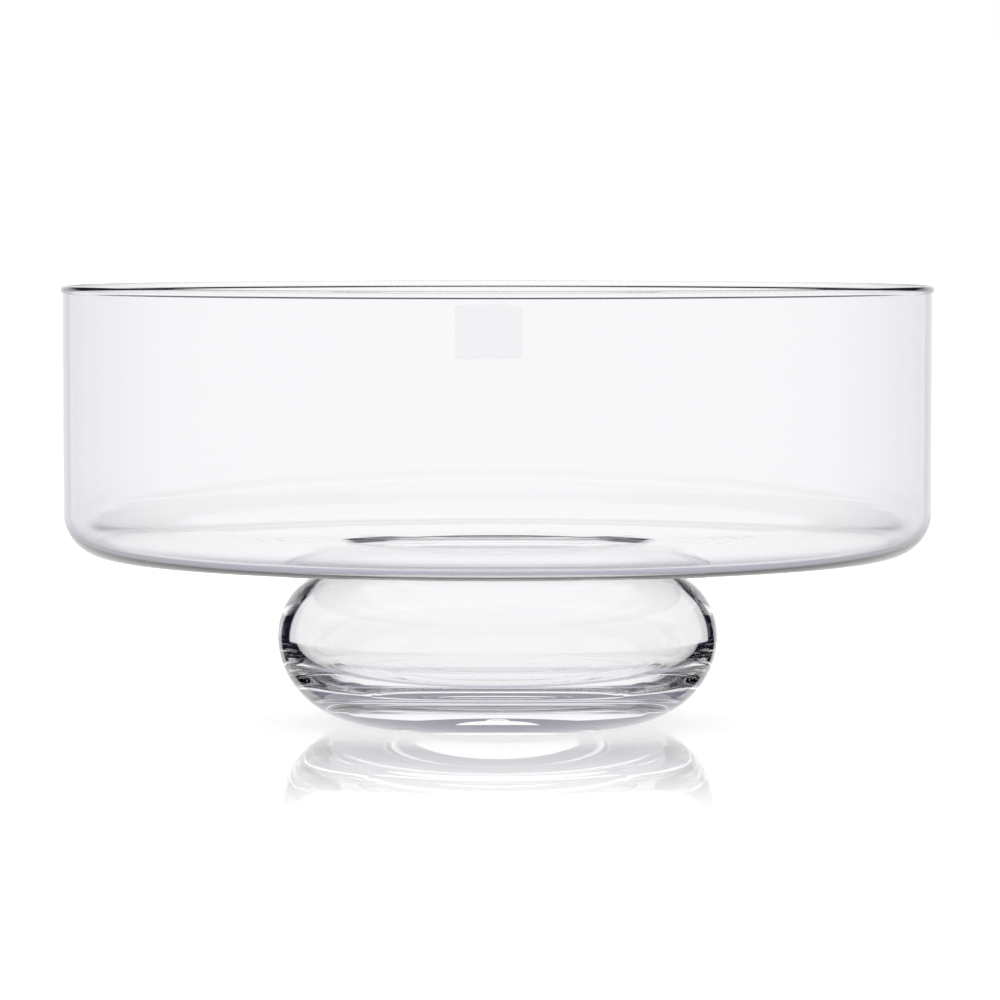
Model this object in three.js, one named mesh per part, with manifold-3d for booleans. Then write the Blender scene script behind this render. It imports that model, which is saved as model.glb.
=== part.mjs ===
// A footed glass bowl: a wide, straight-sided bowl fused to a hollow foot shaped like a flattened ball, with
// a small blank label on the front of its wall. Millimetres, +Z up. The origin is the centre of the ring
// that the foot stands on, and the label faces -Y.

import * as THREE from 'three';
import { mergeVertices } from 'three/addons/utils/BufferGeometryUtils.js';
import Module from 'manifold-3d';

// Bowl
const rimDiameter = 300; // over the bead
const rimHeight = 151.3; // top of the bead above the table
const beadWidth = 0.75; // the bead stands out of the wall by this much
const beadDrop = 1; // its lower half, which runs back into the wall
const wallThickness = 2.4;
const cornerRadius = 15; // outside, where the floor turns up into the wall
const innerCornerRadius = 12;
const undersideHeight = 58.7; // flat underside of the bowl above the table
const floorThickness = 3;

// Waist, the groove where bowl and foot are fused
const waistRadius = 52; // at the bottom of the groove
const waistThickness = 2.2;
const grooveRadius = 2.4;

// Foot
const footDiameter = 151.7; // at its widest
const footWidestHeight = 30.3;
const footWall = 6.1; // at its widest
const restingRadius = 42; // outer edge of the flat ring that it stands on
const restingWidth = 4;
const kickHeight = 1; // the base is pushed up by this much inside the ring
const hollowFloorRadius = 56;
const hollowFloorHeight = 16.5; // above the table

// Label
const labelWidth = 21.4;
const labelHeight = 17;
const labelCornerRadius = 1.3;
const labelThickness = 0.2;
const labelClearance = 0.1; // to the round of the wall
const labelDrop = 4.4; // from the top of the rim to its upper edge
const labelOffset = -2.7; // sideways from the middle of the front

// Fineness of the round surfaces
const turnSteps = 72;
const smallArcSteps = 4;
const largeArcSteps = 9;

// Directions in a profile, seen with radius to the right and height upwards
const outward = 0;
const up = Math.PI / 2;
const inward = Math.PI;
const down = -Math.PI / 2;

// What several pieces share
const wallRadius = rimDiameter / 2 - beadWidth;
const seamHeight = undersideHeight - grooveRadius;
const throatRadius = waistRadius - waistThickness;
const lipRadius = grooveRadius + waistThickness;
const grooveCentre = new THREE.Vector2(waistRadius + grooveRadius, seamHeight);

// Points along an arc of a profile. Different radii across and upwards make it elliptical.
function arc(centre, acrossRadius, uprightRadius, from, to, steps) {
  const clockwise = to < from;
  return new THREE.EllipseCurve(
    centre.x, centre.y, acrossRadius, uprightRadius, from, to, clockwise,
  ).getPoints(steps);
}

// A profile turned round the Z axis. It goes up the outside and down the inside.
function turned(profile) {
  return new THREE.LatheGeometry(profile, turnSteps).rotateX(Math.PI / 2);
}

// The arc that is upright at its widest point and runs smoothly into a rounded waist above it
function shoulder(widestRadius, widestHeight, waistRound) {
  const across = grooveCentre.x - widestRadius;
  const height = grooveCentre.y - widestHeight;
  const radius = (across ** 2 + height ** 2 - waistRound ** 2) / (2 * (waistRound - across));
  return {
    radius,
    centre: new THREE.Vector2(widestRadius - radius, widestHeight),
    end: Math.atan2(height, across + radius),
  };
}

// The arc from a level edge on the table up to the axis, for a base that is pushed up in the middle
function kickUnder(edgeRadius, height) {
  const radius = (edgeRadius ** 2 + height ** 2) / (2 * height);
  return {
    radius,
    centre: new THREE.Vector2(0, height - radius),
    edge: Math.atan2(radius - height, edgeRadius),
  };
}

function bowlProfile() {
  const innerRadius = wallRadius - wallThickness;
  const floorHeight = undersideHeight + floorThickness;
  const corner = new THREE.Vector2(wallRadius - cornerRadius, undersideHeight + cornerRadius);
  const rimRound = (wallThickness + beadWidth) / 2;
  const rim = new THREE.Vector2(innerRadius + rimRound, rimHeight - rimRound);
  const bead = new THREE.Vector2(wallRadius, rimHeight - rimRound);
  const innerCorner = new THREE.Vector2(innerRadius - innerCornerRadius, floorHeight + innerCornerRadius);
  const neckFoot = new THREE.Vector2(waistRadius, seamHeight);
  return [
    ...arc(grooveCentre, grooveRadius, grooveRadius, inward, up, smallArcSteps),
    ...arc(corner, cornerRadius, cornerRadius, down, outward, largeArcSteps),
    ...arc(bead, beadWidth, beadDrop, down, outward, smallArcSteps),
    ...arc(rim, rimRound, rimRound, outward, inward, 2 * smallArcSteps).slice(1),
    ...arc(innerCorner, innerCornerRadius, innerCornerRadius, outward, down, largeArcSteps),
    ...arc(grooveCentre, lipRadius, floorHeight - seamHeight, up, inward, smallArcSteps),
    neckFoot,
  ];
}

function footProfile() {
  const footRadius = footDiameter / 2;
  const hollowRadius = footRadius - footWall;
  const kick = kickUnder(restingRadius - restingWidth, kickHeight);
  const toe = new THREE.Vector2(restingRadius, footWidestHeight);
  const outside = shoulder(footRadius, footWidestHeight, grooveRadius);
  const inside = shoulder(hollowRadius, footWidestHeight, lipRadius);
  const heel = new THREE.Vector2(hollowFloorRadius, footWidestHeight);
  return [
    ...arc(kick.centre, kick.radius, kick.radius, up, kick.edge, smallArcSteps),
    ...arc(toe, footRadius - restingRadius, footWidestHeight, down, outward, largeArcSteps),
    ...arc(outside.centre, outside.radius, outside.radius, outward, outside.end, largeArcSteps).slice(1),
    ...arc(grooveCentre, grooveRadius, grooveRadius, inward + outside.end, inward, smallArcSteps).slice(1),
    ...arc(grooveCentre, lipRadius, lipRadius, inward, inward + inside.end, smallArcSteps),
    ...arc(inside.centre, inside.radius, inside.radius, inside.end, outward, largeArcSteps).slice(1),
    ...arc(
      heel, hollowRadius - hollowFloorRadius, footWidestHeight - hollowFloorHeight,
      outward, down, largeArcSteps,
    ).slice(1),
    new THREE.Vector2(0, hollowFloorHeight),
  ];
}

const wasm = await Module();
wasm.setup();

function solidOf(geometry) {
  const bare = geometry.clone();
  bare.deleteAttribute('normal');
  bare.deleteAttribute('uv');
  const merged = mergeVertices(bare);
  return new wasm.Manifold(new wasm.Mesh({
    numProp: 3,
    vertProperties: new Float32Array(merged.attributes.position.array),
    triVerts: new Uint32Array(merged.index.array),
  }));
}

function geometryOf(solid) {
  const { numProp, vertProperties, triVerts } = solid.getMesh();
  const geometry = new THREE.BufferGeometry();
  geometry.setAttribute('position', new THREE.BufferAttribute(vertProperties, numProp));
  geometry.setIndex(new THREE.BufferAttribute(triVerts, 1));
  geometry.computeVertexNormals();
  return geometry;
}

// A rounded rectangle in a plane, centred on the point given
function roundedRectangle(centre, width, height, radius) {
  const right = centre.x + width / 2;
  const left = centre.x - width / 2;
  const top = centre.y + height / 2;
  const bottom = centre.y - height / 2;
  return new THREE.Shape()
    .absarc(right - radius, top - radius, radius, outward, up)
    .absarc(left + radius, top - radius, radius, up, inward)
    .absarc(left + radius, bottom + radius, radius, inward, inward + up)
    .absarc(right - radius, bottom + radius, radius, inward + up, 2 * inward);
}

// The label is a rounded rectangle punched out of a thin band that goes round the wall
function labelGeometry() {
  const bandInside = wallRadius + labelClearance;
  const bandOutside = bandInside + labelThickness;
  const labelTop = rimHeight - labelDrop;
  const labelCentre = new THREE.Vector2(labelOffset, labelTop - labelHeight / 2);
  const bandTop = labelTop + labelHeight;
  const bandBottom = labelTop - 2 * labelHeight;
  const band = turned([
    new THREE.Vector2(bandInside, bandBottom),
    new THREE.Vector2(bandOutside, bandBottom),
    new THREE.Vector2(bandOutside, bandTop),
    new THREE.Vector2(bandInside, bandTop),
    new THREE.Vector2(bandInside, bandBottom),
  ]);
  const outline = roundedRectangle(labelCentre, labelWidth, labelHeight, labelCornerRadius);
  const punch = new THREE.ExtrudeGeometry(outline, {
    depth: rimDiameter,
    bevelEnabled: false,
    curveSegments: smallArcSteps,
  }).rotateX(Math.PI / 2);
  return geometryOf(solidOf(band).intersect(solidOf(punch)));
}

function glass() {
  return new THREE.MeshStandardMaterial({
    color: 0xf3f4f8,
    roughness: 0.02,
    metalness: 0,
    transparent: true,
    opacity: 0.35,
  });
}

function labelFilm() {
  return new THREE.MeshStandardMaterial({ color: 0xf0f1f4, roughness: 0.45, metalness: 0 });
}

function piece(name, geometry, material) {
  const mesh = new THREE.Mesh(geometry, material);
  mesh.name = name;
  return mesh;
}

const footedBowl = new THREE.Group();
footedBowl.add(
  piece('bowl', turned(bowlProfile()), glass()),
  piece('foot', turned(footProfile()), glass()),
  piece('label', labelGeometry(), labelFilm()),
);

export default footedBowl;
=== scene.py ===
import math

import bmesh
import bpy
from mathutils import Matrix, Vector


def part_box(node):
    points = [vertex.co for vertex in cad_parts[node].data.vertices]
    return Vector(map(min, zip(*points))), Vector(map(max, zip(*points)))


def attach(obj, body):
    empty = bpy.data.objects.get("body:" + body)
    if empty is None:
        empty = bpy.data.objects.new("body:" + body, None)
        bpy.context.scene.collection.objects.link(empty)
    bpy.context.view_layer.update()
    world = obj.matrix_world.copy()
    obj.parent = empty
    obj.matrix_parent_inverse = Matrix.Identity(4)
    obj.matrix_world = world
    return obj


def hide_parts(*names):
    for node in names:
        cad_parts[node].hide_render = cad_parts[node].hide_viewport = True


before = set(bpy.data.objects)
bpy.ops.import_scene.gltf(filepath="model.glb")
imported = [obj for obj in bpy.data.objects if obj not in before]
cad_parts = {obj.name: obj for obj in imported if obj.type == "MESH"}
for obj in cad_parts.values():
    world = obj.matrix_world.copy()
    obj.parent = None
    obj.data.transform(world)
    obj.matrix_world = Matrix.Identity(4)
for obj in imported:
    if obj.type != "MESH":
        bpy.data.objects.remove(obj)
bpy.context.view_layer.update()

# Camera
# The photograph was taken from straight in front with a long lens, 1.72 m from the bowl's axis and a
# little above its rim, so the rim shows as a thin ellipse and the far wall lies close behind the near one.
camera_distance = 1.72
camera_height = 0.173
camera_sideways = 0.00086
camera_pitch = math.radians(3.188)
camera_lens = 179.68
camera_sensor = 36
camera_reach = 100

camera = bpy.data.objects.new("camera", bpy.data.cameras.new("camera"))
camera.data.lens = camera_lens
camera.data.sensor_width = camera_sensor
camera.data.clip_end = camera_reach
camera.location = (camera_sideways, -camera_distance, camera_height)
camera.rotation_euler = (math.pi / 2 - camera_pitch, 0, 0)
bpy.context.scene.collection.objects.link(camera)
bpy.context.scene.camera = camera

# Bowl
# The upper vessel is clear soda glass, blown and then cut open, with straight sides, a rounded lower corner
# and a thin flat floor. Its rim was fire-polished, which draws the cut edge into a small bead. The floor is
# open in the middle, where a short neck carries it on the foot.
millimetre = 0.001
bowl_low, bowl_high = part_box("bowl")
rim_height = bowl_high.z
bead_width = 0.75 * millimetre
bead_drop = 1 * millimetre
wall_radius = bowl_high.x - bead_width
wall_thickness = 2.4 * millimetre
corner_radius = 15 * millimetre
inner_corner_radius = 12 * millimetre
floor_thickness = 3 * millimetre
groove_radius = 2.4 * millimetre
waist_radius = 52 * millimetre
waist_thickness = 2.2 * millimetre
throat_radius = waist_radius - waist_thickness
lip_radius = groove_radius + waist_thickness
seam_height = bowl_low.z
underside_height = seam_height + groove_radius
floor_height = underside_height + floor_thickness
groove_centre = (waist_radius + groove_radius, seam_height)
fused_depth = 0.05 * millimetre

ripples_from = 57 * millimetre
ripples_to = 95 * millimetre
ripple_width = 7 * millimetre
ripple_depth = 0.03 * millimetre

glass_index = 1.5
glass_clearest = (0.996, 0.995, 0.999, 1)
glass_greyest = (0.99, 0.989, 0.996, 1)
cord_scale = 18
cord_detail = 1
wave_depth = 0.03 * millimetre

outward, up, inward, down = 0, math.pi / 2, math.pi, -math.pi / 2
turn_steps = 256
fewest_arc_steps = 24
longest_step = 1.5 * millimetre
edge_step = 0.02 * millimetre
level_within = 0.01 * millimetre
no_length = 1e-9


def arc(centre, across, upright, start, end):
    """Points of a profile along an arc, as (radius, height). Two radii make it elliptical."""
    length = abs(end - start) * max(across, upright)
    steps = max(fewest_arc_steps, math.ceil(length / longest_step))
    angles = [start + (end - start) * i / steps for i in range(steps + 1)]
    return [(centre[0] + across * math.cos(a), centre[1] + upright * math.sin(a)) for a in angles]


def close_rings(profile):
    """The profile with its straight stretches divided, so that smooth shading leaves them straight."""
    rings = [profile[0]]
    for (r0, z0), (r1, z1) in zip(profile, profile[1:]):
        length = math.hypot(r1 - r0, z1 - z0)
        if length < no_length:
            continue
        steps = math.ceil(length / longest_step)
        shares = [i / steps for i in range(1, steps + 1)]
        if steps > 2:
            shares = [edge_step / length] + shares[:-1] + [1 - edge_step / length, 1]
        rings += [(r0 + (r1 - r0) * s, z0 + (z1 - z0) * s) for s in shares]
    return rings


def turned(name, profile, by_hand):
    """A smooth mesh of a profile turned round the Z axis, up the outside and down the inside.

    The function by_hand then moves each point by what the glassmaker's tools left in the surface.
    """
    mesh = bmesh.new()
    rows = []
    for radius, height in profile:
        if radius < no_length:
            row = [mesh.verts.new((0, 0, height))] * turn_steps
        else:
            turns = [2 * math.pi * i / turn_steps for i in range(turn_steps)]
            row = [mesh.verts.new((radius * math.cos(t), radius * math.sin(t), height)) for t in turns]
        rows.append(row)
    starts_on_axis = rows[0][0] is rows[0][1]
    next_rows = rows[1:] if starts_on_axis else rows[1:] + rows[:1]
    for lower, upper in zip(rows, next_rows):
        for i in range(turn_steps):
            j = (i + 1) % turn_steps
            corners = [lower[i], lower[j], upper[j], upper[i]]
            mesh.faces.new(list(dict.fromkeys(corners)))
    for vert in mesh.verts:
        vert.co = by_hand(vert.co)
    for face in mesh.faces:
        face.smooth = True
    data = bpy.data.meshes.new(name)
    mesh.to_mesh(data)
    mesh.free()
    piece = bpy.data.objects.new(name, data)
    bpy.context.scene.collection.objects.link(piece)
    return piece


def bowl_profile():
    inner_radius = wall_radius - wall_thickness
    corner = (wall_radius - corner_radius, underside_height + corner_radius)
    rim_round = (wall_thickness + bead_width) / 2
    rim = (inner_radius + rim_round, rim_height - rim_round)
    bead = (wall_radius, rim_height - rim_round)
    inner_corner = (inner_radius - inner_corner_radius, floor_height + inner_corner_radius)
    neck_foot = seam_height - fused_depth
    return [
        (waist_radius, neck_foot),
        *arc(groove_centre, groove_radius, groove_radius, inward, up),
        *arc(corner, corner_radius, corner_radius, down, outward),
        *arc(bead, bead_width, bead_drop, down, outward),
        *arc(rim, rim_round, rim_round, outward, inward),
        *arc(inner_corner, inner_corner_radius, inner_corner_radius, outward, down),
        *arc(groove_centre, lip_radius, floor_height - seam_height, up, inward),
        (throat_radius, neck_foot),
    ]


def floor_ripples(place):
    """The faint ripples round the throat, where the floor was drawn outwards."""
    radius = math.hypot(place.x, place.y)
    on_floor = abs(place.z - floor_height) < level_within
    if on_floor and ripples_from < radius < ripples_to:
        share = math.sin(math.pi * (radius - ripples_from) / (ripples_to - ripples_from))
        place.z += ripple_depth * share * math.sin(2 * math.pi * radius / ripple_width)
    return place


def clear_glass():
    """Clear glass with cords, the faint streaks and waves of a melt that isn't quite even."""
    material = bpy.data.materials.new("clear_glass")
    material.use_nodes = True
    nodes, links = material.node_tree.nodes, material.node_tree.links
    shader = nodes["Principled BSDF"]
    shader.inputs["Roughness"].default_value = 0
    shader.inputs["IOR"].default_value = glass_index
    shader.inputs["Transmission Weight"].default_value = 1
    cords = nodes.new("ShaderNodeTexNoise")
    cords.inputs["Scale"].default_value = cord_scale
    cords.inputs["Detail"].default_value = cord_detail
    links.new(nodes.new("ShaderNodeTexCoord").outputs["Object"], cords.inputs["Vector"])
    tint = nodes.new("ShaderNodeMix")
    tint.data_type = "RGBA"
    tint.inputs[6].default_value = glass_clearest
    tint.inputs[7].default_value = glass_greyest
    links.new(cords.outputs["Fac"], tint.inputs[0])
    links.new(tint.outputs[2], shader.inputs["Base Color"])
    wave = nodes.new("ShaderNodeBump")
    wave.inputs["Strength"].default_value = 1
    wave.inputs["Distance"].default_value = wave_depth
    links.new(cords.outputs["Fac"], wave.inputs["Height"])
    links.new(wave.outputs["Normal"], shader.inputs["Normal"])
    return material


glass = clear_glass()
bowl = turned("glass_bowl", close_rings(bowl_profile()), floor_ripples)
bowl.data.materials.append(glass)
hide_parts("bowl")
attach(bowl, "root")

# Foot
# The foot is a second gather of the same glass, blown into a flattened hollow ball with a thick base and
# fused to the neck while both were soft. Its base was pushed up in the middle, so it stands on a ring.
foot_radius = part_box("foot")[1].x
foot_widest_height = 30.3 * millimetre
foot_wall = 6.1 * millimetre
resting_radius = 42 * millimetre
resting_width = 4 * millimetre
kick_height = 1 * millimetre
hollow_floor_radius = 56 * millimetre
hollow_floor_height = 16.5 * millimetre
outer_ring_radius = 53 * millimetre
outer_ring_depth = 0.25 * millimetre
inner_ring_radius = 35 * millimetre
inner_ring_depth = 0.06 * millimetre
ring_width = 1.2 * millimetre


def shoulder(widest_radius, waist_round):
    """The arc that is upright at its widest and runs smoothly into the rounded waist above it."""
    across = groove_centre[0] - widest_radius
    height = groove_centre[1] - foot_widest_height
    radius = (across**2 + height**2 - waist_round**2) / (2 * (waist_round - across))
    end = math.atan2(height, across + radius)
    return (widest_radius - radius, foot_widest_height), radius, end


def kick_under(edge_radius):
    """The arc from the inner edge of the resting ring up to the axis."""
    radius = (edge_radius**2 + kick_height**2) / (2 * kick_height)
    edge = math.atan2(radius - kick_height, edge_radius)
    return (0, kick_height - radius), radius, edge


def foot_profile():
    hollow_radius = foot_radius - foot_wall
    toe = (resting_radius, foot_widest_height)
    heel = (hollow_floor_radius, foot_widest_height)
    heel_across = hollow_radius - hollow_floor_radius
    heel_height = foot_widest_height - hollow_floor_height
    outer, outer_radius, outer_end = shoulder(foot_radius, groove_radius)
    inner, inner_radius, inner_end = shoulder(hollow_radius, lip_radius)
    kick, kick_radius, kick_edge = kick_under(resting_radius - resting_width)
    neck_top = seam_height + fused_depth
    return [
        *arc(kick, kick_radius, kick_radius, up, kick_edge),
        *arc(toe, foot_radius - resting_radius, foot_widest_height, down, outward),
        *arc(outer, outer_radius, outer_radius, outward, outer_end),
        *arc(groove_centre, groove_radius, groove_radius, inward + outer_end, inward),
        (waist_radius, neck_top),
        (throat_radius, neck_top),
        *arc(groove_centre, lip_radius, lip_radius, inward, inward + inner_end),
        *arc(inner, inner_radius, inner_radius, inner_end, outward),
        *arc(heel, heel_across, heel_height, outward, down),
        (0, hollow_floor_height),
    ]


def tool_rings(place):
    """The shallow rings that the shaping tool left in the hollow's floor."""
    radius = math.hypot(place.x, place.y)
    rings = ((outer_ring_radius, outer_ring_depth), (inner_ring_radius, inner_ring_depth))
    if abs(place.z - hollow_floor_height) < level_within:
        for middle, depth in rings:
            place.z -= depth * math.exp(-((radius - middle) / ring_width) ** 2)
    return place


foot = turned("glass_foot", close_rings(foot_profile()), tool_rings)
foot.data.materials.append(glass)
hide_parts("foot")
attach(foot, "root")

# Label
# A small self-adhesive label of pale film with round corners, die-cut, stuck to the front of the wall just
# below the rim and a little to the left. It is left blank.
label_low, label_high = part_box("label")
label_corner = 1.3 * millimetre
label_thickness = 0.2 * millimetre
label_clearance = 0.1 * millimetre
label_steps = 40
label_corner_steps = 8

film_darkest = (0.925, 0.932, 0.955, 1)
film_palest = (0.96, 0.965, 0.98, 1)
film_smoothest = 0.36
film_roughest = 0.48
film_grain_scale = 2500
film_grain_detail = 3
film_grain_strength = 0.2
film_grain_depth = 0.01 * millimetre


def label_outline(half_width, half_height):
    """Points round the flat label, as (sideways, upwards) from its middle."""
    outline = []
    for turn, (side, above) in enumerate(((1, 1), (-1, 1), (-1, -1), (1, -1))):
        for step in range(label_corner_steps + 1):
            angle = (turn + step / label_corner_steps) * math.pi / 2
            x = side * (half_width - label_corner) + label_corner * math.cos(angle)
            z = above * (half_height - label_corner) + label_corner * math.sin(angle)
            outline.append((x, z))
    return outline


def label_mesh():
    """The flat label cut into narrow strips, thickened and bent round the wall."""
    back = wall_radius + label_clearance
    front = back + label_thickness
    half_width = (label_high.x - label_low.x) / 2
    half_height = (label_high.z - label_low.z) / 2
    middle = (label_low + label_high) / 2
    mesh = bmesh.new()
    outline = label_outline(half_width, half_height)
    mesh.faces.new([mesh.verts.new((middle.x + x, 0, middle.z + z)) for x, z in outline])
    for i in range(1, label_steps):
        x = middle.x - half_width + 2 * half_width * i / label_steps
        whole = mesh.verts[:] + mesh.edges[:] + mesh.faces[:]
        bmesh.ops.bisect_plane(mesh, geom=whole, plane_co=(x, 0, 0), plane_no=(1, 0, 0))
    thick = bmesh.ops.extrude_face_region(mesh, geom=mesh.faces[:])
    behind = {vert for vert in thick["geom"] if isinstance(vert, bmesh.types.BMVert)}
    for vert in mesh.verts:
        radius = back if vert in behind else front
        angle = vert.co.x / wall_radius
        vert.co = Vector((radius * math.sin(angle), -radius * math.cos(angle), vert.co.z))
    bmesh.ops.recalc_face_normals(mesh, faces=mesh.faces[:])
    data = bpy.data.meshes.new("label_film")
    mesh.to_mesh(data)
    mesh.free()
    return data


def label_film():
    """Satin film with a fine grain."""
    material = bpy.data.materials.new("label_film")
    material.use_nodes = True
    nodes, links = material.node_tree.nodes, material.node_tree.links
    shader = nodes["Principled BSDF"]
    grain = nodes.new("ShaderNodeTexNoise")
    grain.inputs["Scale"].default_value = film_grain_scale
    grain.inputs["Detail"].default_value = film_grain_detail
    links.new(nodes.new("ShaderNodeTexCoord").outputs["Object"], grain.inputs["Vector"])
    shade = nodes.new("ShaderNodeMix")
    shade.data_type = "RGBA"
    shade.inputs[6].default_value = film_darkest
    shade.inputs[7].default_value = film_palest
    links.new(grain.outputs["Fac"], shade.inputs[0])
    links.new(shade.outputs[2], shader.inputs["Base Color"])
    satin = nodes.new("ShaderNodeMapRange")
    satin.inputs["To Min"].default_value = film_smoothest
    satin.inputs["To Max"].default_value = film_roughest
    links.new(grain.outputs["Fac"], satin.inputs["Value"])
    links.new(satin.outputs[0], shader.inputs["Roughness"])
    tooth = nodes.new("ShaderNodeBump")
    tooth.inputs["Strength"].default_value = film_grain_strength
    tooth.inputs["Distance"].default_value = film_grain_depth
    links.new(grain.outputs["Fac"], tooth.inputs["Height"])
    links.new(tooth.outputs["Normal"], shader.inputs["Normal"])
    return material


label = bpy.data.objects.new("label_film", label_mesh())
bpy.context.scene.collection.objects.link(label)
label.data.materials.append(label_film())
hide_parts("label")
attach(label, "root")

# Table
# The bowl stands on a wide white board with a slight gloss, which runs on into the background. At a low
# slant it mirrors the bowl faintly, less with distance. Light that comes by way of glass passes through it.
table_half_size = 30
table_colour = (0.9, 0.9, 0.9, 1)
table_lift = 0.5
mirror_colour = (1, 1, 1, 1)
mirror_roughness = 0.01
mirror_share = 0.62
mirror_starts = (0.045, 0.1)
mirror_fades = (0.42, 0.05)
mirror_slant = (0.78, 0.88)
at_least_once = 0.5


def math_node(tree, operation, *values):
    """The result of a sum of sockets and plain numbers."""
    node = tree.nodes.new("ShaderNodeMath")
    node.operation = operation
    for socket, value in zip(node.inputs, values):
        if isinstance(value, bpy.types.NodeSocket):
            tree.links.new(value, socket)
        else:
            socket.default_value = value
    return node.outputs[0]


def both(tree, first, second):
    return math_node(tree, "MULTIPLY", first, second)


def either(tree, first, second):
    return math_node(tree, "MAXIMUM", first, second)


def apart_from(tree, share):
    return math_node(tree, "SUBTRACT", 1, share)


def soft_step(tree, value, start, end):
    """0 at start and 1 at end, with a smooth step between them."""
    node = tree.nodes.new("ShaderNodeMapRange")
    node.interpolation_type = "SMOOTHSTEP"
    tree.links.new(value, node.inputs["Value"])
    node.inputs["From Min"].default_value = start
    node.inputs["From Max"].default_value = end
    return node.outputs[0]


def seen_by_glass(tree):
    """1 for a ray that comes from the camera by way of glass or a mirror, and 0 for any other."""
    path = tree.nodes.new("ShaderNodeLightPath")
    bent = either(tree, path.outputs["Is Glossy Ray"], path.outputs["Is Transmission Ray"])
    not_matt = math_node(tree, "LESS_THAN", path.outputs["Diffuse Depth"], at_least_once)
    return both(tree, bent, not_matt)


def mirror_here(tree):
    """The share of the table's light that is mirrored, by place and by slant."""
    place = tree.nodes.new("ShaderNodeNewGeometry")
    away = tree.nodes.new("ShaderNodeVectorMath")
    away.operation = "LENGTH"
    tree.links.new(place.outputs["Position"], away.inputs[0])
    slant = tree.nodes.new("ShaderNodeLayerWeight")
    faded = soft_step(tree, away.outputs["Value"], *mirror_fades)
    started = soft_step(tree, away.outputs["Value"], *mirror_starts)
    close = both(tree, both(tree, faded, started), mirror_share)
    return both(tree, close, soft_step(tree, slant.outputs["Facing"], *mirror_slant))


def table_top():
    material = bpy.data.materials.new("white_table")
    material.use_nodes = True
    tree = material.node_tree
    nodes, link = tree.nodes, tree.links.new
    nodes.remove(nodes["Principled BSDF"])
    matt = nodes.new("ShaderNodeBsdfDiffuse")
    matt.inputs["Color"].default_value = table_colour
    lift = nodes.new("ShaderNodeEmission")
    path = nodes.new("ShaderNodeLightPath")
    link(both(tree, path.outputs["Is Camera Ray"], table_lift), lift.inputs["Strength"])
    white = nodes.new("ShaderNodeAddShader")
    link(matt.outputs[0], white.inputs[0])
    link(lift.outputs[0], white.inputs[1])
    mirror = nodes.new("ShaderNodeBsdfGlossy")
    mirror.inputs["Color"].default_value = mirror_colour
    mirror.inputs["Roughness"].default_value = mirror_roughness
    glossy = nodes.new("ShaderNodeMixShader")
    link(mirror_here(tree), glossy.inputs[0])
    link(white.outputs[0], glossy.inputs[1])
    link(mirror.outputs[0], glossy.inputs[2])
    clear = nodes.new("ShaderNodeBsdfTransparent")
    shown = nodes.new("ShaderNodeMixShader")
    link(seen_by_glass(tree), shown.inputs[0])
    link(glossy.outputs[0], shown.inputs[1])
    link(clear.outputs[0], shown.inputs[2])
    link(shown.outputs[0], nodes["Material Output"].inputs["Surface"])
    return material


corner_sides = ((-1, -1), (1, -1), (1, 1), (-1, 1))
table_corners = [(x * table_half_size, y * table_half_size, 0) for x, y in corner_sides]
table_data = bpy.data.meshes.new("table")
table_data.from_pydata(table_corners, [], [(0, 1, 2, 3)])
table = bpy.data.objects.new("table", table_data)
bpy.context.scene.collection.objects.link(table)
table_data.materials.append(table_top())

# Studio
# The room as the glass sees it, all else sees plain white: a white card behind the bowl, a pale table and
# horizon, a dim front and black between them, which gives clear glass its dark edges. Angles are in degrees,
# 0 straight behind the bowl, and levels run from 0, black, to 1, white.
studio_colours = (
    (0, (0.007, 0.0075, 0.014, 1)),
    (0.25, (0.235, 0.23, 0.285, 1)),
    (0.6, (0.565, 0.56, 0.65, 1)),
    (1, (1, 1, 1, 1)),
)
plain_white = (1, 1, 1, 1)
straight_behind, straight_in_front = 0, 180
card_half_angle = 32
card_top = 12
card_soft = 4
horizon_low, horizon_high, horizon_soft = -7, 1, 1
horizon_level = 0.76
far_table_low, far_table_high, far_table_soft = -14, 8, 0.5
far_table_levels = (
    (-180, 0.5), (-120, 0.35), (-100, 0.05), (-52, 0.05), (-44, 0.8), (-15, 1),
    (15, 1), (44, 0.8), (56, 0.1), (95, 0.1), (120, 0.4), (180, 0.5),
)
near_table_below = -12
front_half_angle = 40
front_level = 0.45
sheet_half_angle = 115
sheet_soft = 20
sheet_level = 0.9
top_from = 15
top_level = 0.05
lamp_from = 40
edge_level = 0.5
past_one_wall = 3.5


def thrown_back(tree):
    """1 for a ray reflected within glass, as at the edge of a thick wall, and 0 for any other."""
    path = tree.nodes.new("ShaderNodeLightPath")
    reflected = math_node(tree, "GREATER_THAN", path.outputs["Glossy Depth"], at_least_once)
    entered = math_node(tree, "GREATER_THAN", path.outputs["Transmission Depth"], at_least_once)
    return both(tree, both(tree, reflected, entered), seen_by_glass(tree))


def deep_in_glass(tree):
    """1 for a ray that has passed through more than one wall, and 0 for any other."""
    path = tree.nodes.new("ShaderNodeLightPath")
    far_in = math_node(tree, "GREATER_THAN", path.outputs["Transmission Depth"], past_one_wall)
    return both(tree, seen_by_glass(tree), far_in)


def colour_ramp(tree, value, colours):
    ramp = tree.nodes.new("ShaderNodeValToRGB")
    stops = ramp.color_ramp.elements
    while len(stops) < len(colours):
        stops.new(0.5)
    for stop, (position, colour) in zip(stops, colours):
        stop.position = position
        stop.color = colour
    tree.links.new(value, ramp.inputs[0])
    return ramp.outputs["Color"]


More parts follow.
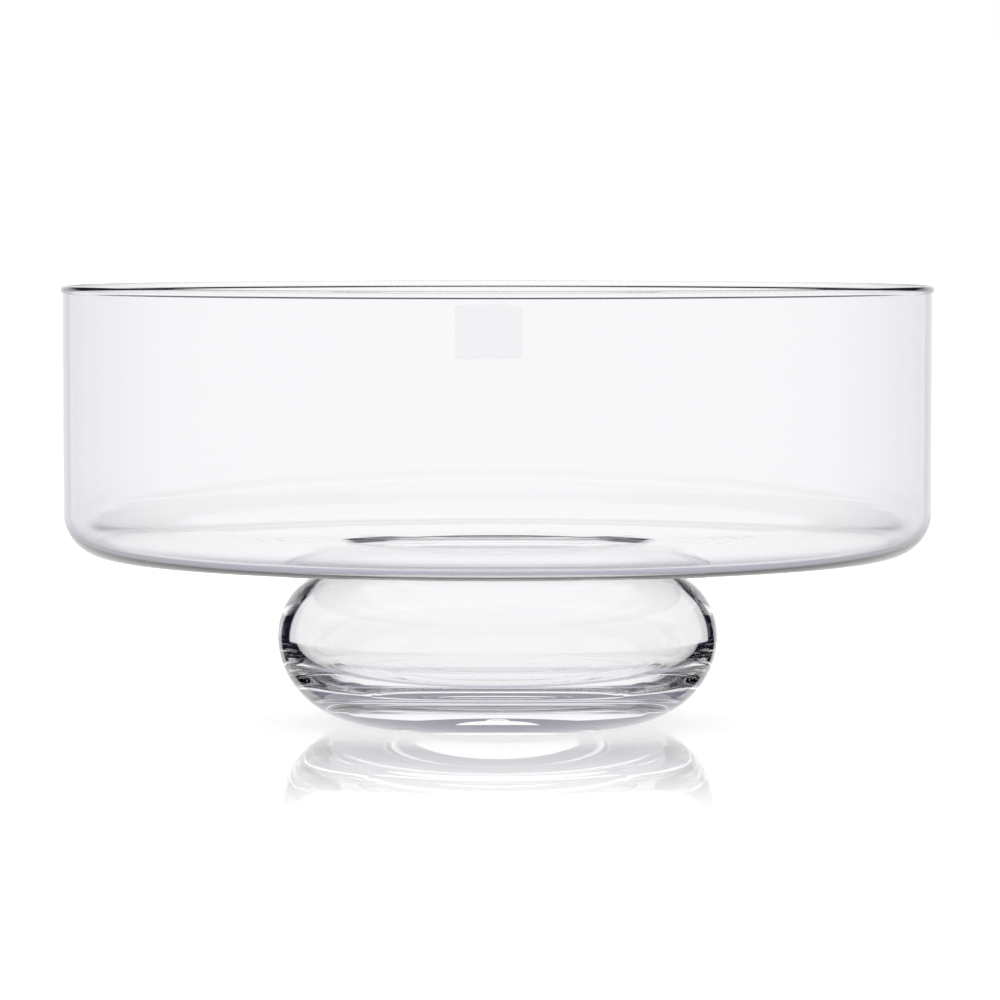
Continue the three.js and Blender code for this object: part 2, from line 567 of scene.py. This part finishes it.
def studio_world():
    world = bpy.data.worlds.new("studio")
    world.use_nodes = True
    tree = world.node_tree
    parts = tree.nodes.new("ShaderNodeSeparateXYZ")
    tree.links.new(tree.nodes.new("ShaderNodeTexCoord").outputs["Generated"], parts.inputs[0])
    azimuth = math_node(tree, "ARCTAN2", parts.outputs["X"], parts.outputs["Y"])

    def above(angle, soft):
        sines = [math.sin(math.radians(angle + turn)) for turn in (-soft, soft)]
        return soft_step(tree, parts.outputs["Z"], *sines)

    def below(angle, soft):
        return apart_from(tree, above(angle, soft))

    def between(bottom, top, soft):
        return math_node(tree, "SUBTRACT", above(bottom, soft), above(top, soft))

    def within(towards, half_angle, soft):
        cosines = [math.cos(math.radians(half_angle + turn)) for turn in (soft, -soft)]
        away = math_node(tree, "SUBTRACT", azimuth, math.radians(towards))
        return soft_step(tree, math_node(tree, "COSINE", away), *cosines)

    def far_table():
        round_turn = math_node(tree, "MULTIPLY_ADD", azimuth, 1 / (2 * math.pi), 0.5)
        greys = [(angle / 360 + 0.5, (level, level, level, 1)) for angle, level in far_table_levels]
        band = between(far_table_low, far_table_high, far_table_soft)
        return both(tree, colour_ramp(tree, round_turn, greys), band)

    path = tree.nodes.new("ShaderNodeLightPath")
    outside = math_node(tree, "LESS_THAN", path.outputs["Transmission Depth"], at_least_once)
    shallow = math_node(tree, "LESS_THAN", path.outputs["Transmission Depth"], past_one_wall)
    straight = math_node(tree, "LESS_THAN", path.outputs["Glossy Depth"], at_least_once)
    within_glass = either(tree, thrown_back(tree), deep_in_glass(tree))
    sheet = within(straight_in_front, sheet_half_angle, sheet_soft)
    room = [
        both(tree, within(straight_behind, card_half_angle, card_soft), below(card_top, card_soft)),
        far_table(),
        both(tree, between(horizon_low, horizon_high, horizon_soft), horizon_level),
        both(tree, within(straight_in_front, front_half_angle, card_soft), front_level),
        both(tree, sheet, both(tree, outside, sheet_level)),
        both(tree, straight, between(far_table_low, card_top, card_soft)),
        both(tree, above(top_from, card_soft), top_level),
        below(near_table_below, card_soft),
        both(tree, above(lamp_from, card_soft), within_glass),
    ]
    brightest = room[0]
    for light in room[1:]:
        brightest = either(tree, brightest, light)
    edge_shade = both(tree, both(tree, thrown_back(tree), shallow), 1 - edge_level)
    level = both(tree, brightest, apart_from(tree, edge_shade))
    shown = tree.nodes.new("ShaderNodeMix")
    shown.data_type = "RGBA"
    tree.links.new(seen_by_glass(tree), shown.inputs[0])
    shown.inputs[6].default_value = plain_white
    tree.links.new(colour_ramp(tree, level, studio_colours), shown.inputs[7])
    tree.links.new(shown.outputs[2], tree.nodes["Background"].inputs["Color"])
    return world


bpy.context.scene.world = studio_world()

# Painted bands
# A collar round the foot glows black, with white and grey gaps, and is seen from inside only, by light that
# has just left the foot or been mirrored off its outside. Its black paints the dark bands at the foot's
# sides and corners, a painted shade, and its gaps paint glints and a sheen there, painted highlights. A gap
# is (start, end, softness) in degrees, and heights are in metres.
collar_radius = 0.1
collar_bottom = -0.03
collar_top = 0.0565
collar_steps = 96
collar_reach = 0.085
collar_high = (0.0225, 0.0255)
collar_low = (0.0212, 0.0182)
high_gap = (-59, 50, 0.8)
high_slit = (60, 62.3, 0.3)
high_painted_shade = (-77.5, 73.5, 1.5)
low_gap = (-24, 21, 9)
base_gap = (-40, 38, 4)
base_level = 0.27
sheen_gap = (-72, 69, 2)
sheen_from = 0.0098


# The collar's glow: black where it paints shade on the foot, white or grey in the gaps where it paints
# glints.
def painted_band_collar():
    material = bpy.data.materials.new("painted_band_collar")
    material.use_nodes = True
    tree = material.node_tree
    nodes, link = tree.nodes, tree.links.new
    nodes.remove(nodes["Principled BSDF"])
    collar_surface = nodes.new("ShaderNodeNewGeometry")
    parts = nodes.new("ShaderNodeSeparateXYZ")
    link(collar_surface.outputs["Position"], parts.inputs[0])
    azimuth = math_node(tree, "ARCTAN2", parts.outputs["X"], parts.outputs["Y"])
    height = parts.outputs["Z"]

    def past(angle, soft):
        return soft_step(tree, azimuth, math.radians(angle - soft), math.radians(angle + soft))

    def gap(start, end, soft):
        return math_node(tree, "SUBTRACT", past(start, soft), past(end, soft))

    high = soft_step(tree, height, *collar_high)
    low = soft_step(tree, height, *collar_low)
    side_gaps = either(tree, gap(*high_slit), apart_from(tree, gap(*high_painted_shade)))
    high_gaps = both(tree, high, either(tree, gap(*high_gap), side_gaps))
    middle_gap = both(tree, apart_from(tree, low), gap(*low_gap))
    low_grey = both(tree, low, both(tree, gap(*base_gap), base_level))
    lower_gaps = both(tree, apart_from(tree, high), either(tree, middle_gap, low_grey))

    path = nodes.new("ShaderNodeLightPath")
    outside = math_node(tree, "LESS_THAN", path.outputs["Transmission Depth"], at_least_once)
    shallow = math_node(tree, "LESS_THAN", path.outputs["Transmission Depth"], past_one_wall)
    from_within = both(tree, either(tree, high_gaps, lower_gaps), apart_from(tree, outside))
    level = either(tree, from_within, both(tree, outside, gap(*sheen_gap)))
    glow = nodes.new("ShaderNodeEmission")
    link(colour_ramp(tree, level, studio_colours), glow.inputs["Color"])

    under_table = math_node(tree, "LESS_THAN", height, 0)
    off_table = either(tree, under_table, math_node(tree, "GREATER_THAN", height, sheen_from))
    sheen = both(tree, both(tree, outside, off_table), seen_by_glass(tree))
    inner = both(tree, thrown_back(tree), shallow)
    near = math_node(tree, "LESS_THAN", path.outputs["Ray Length"], collar_reach)
    seen = both(tree, either(tree, inner, sheen), both(tree, near, collar_surface.outputs["Backfacing"]))
    clear = nodes.new("ShaderNodeBsdfTransparent")
    shown = nodes.new("ShaderNodeMixShader")
    link(seen, shown.inputs[0])
    link(clear.outputs[0], shown.inputs[1])
    link(glow.outputs[0], shown.inputs[2])
    link(shown.outputs[0], nodes["Material Output"].inputs["Surface"])
    return material


painted_band_mesh = bmesh.new()
bmesh.ops.create_cone(
    painted_band_mesh, segments=collar_steps, radius1=collar_radius, radius2=collar_radius, depth=collar_top - collar_bottom,
)
bmesh.ops.translate(painted_band_mesh, verts=painted_band_mesh.verts, vec=(0, 0, (collar_top + collar_bottom) / 2))
painted_band_data = bpy.data.meshes.new("painted_bands")
painted_band_mesh.to_mesh(painted_band_data)
painted_band_mesh.free()
painted_bands = bpy.data.objects.new("painted_bands", painted_band_data)
bpy.context.scene.collection.objects.link(painted_bands)
painted_band_data.materials.append(painted_band_collar())

# Picture
# Light passes through many glass surfaces here, so it may bend and bounce often.
cycles = bpy.context.scene.cycles
cycles.max_bounces = 32
cycles.transmission_bounces = 32
cycles.glossy_bounces = 24
cycles.transparent_max_bounces = 32
bpy.context.scene.view_settings.view_transform = "Standard"
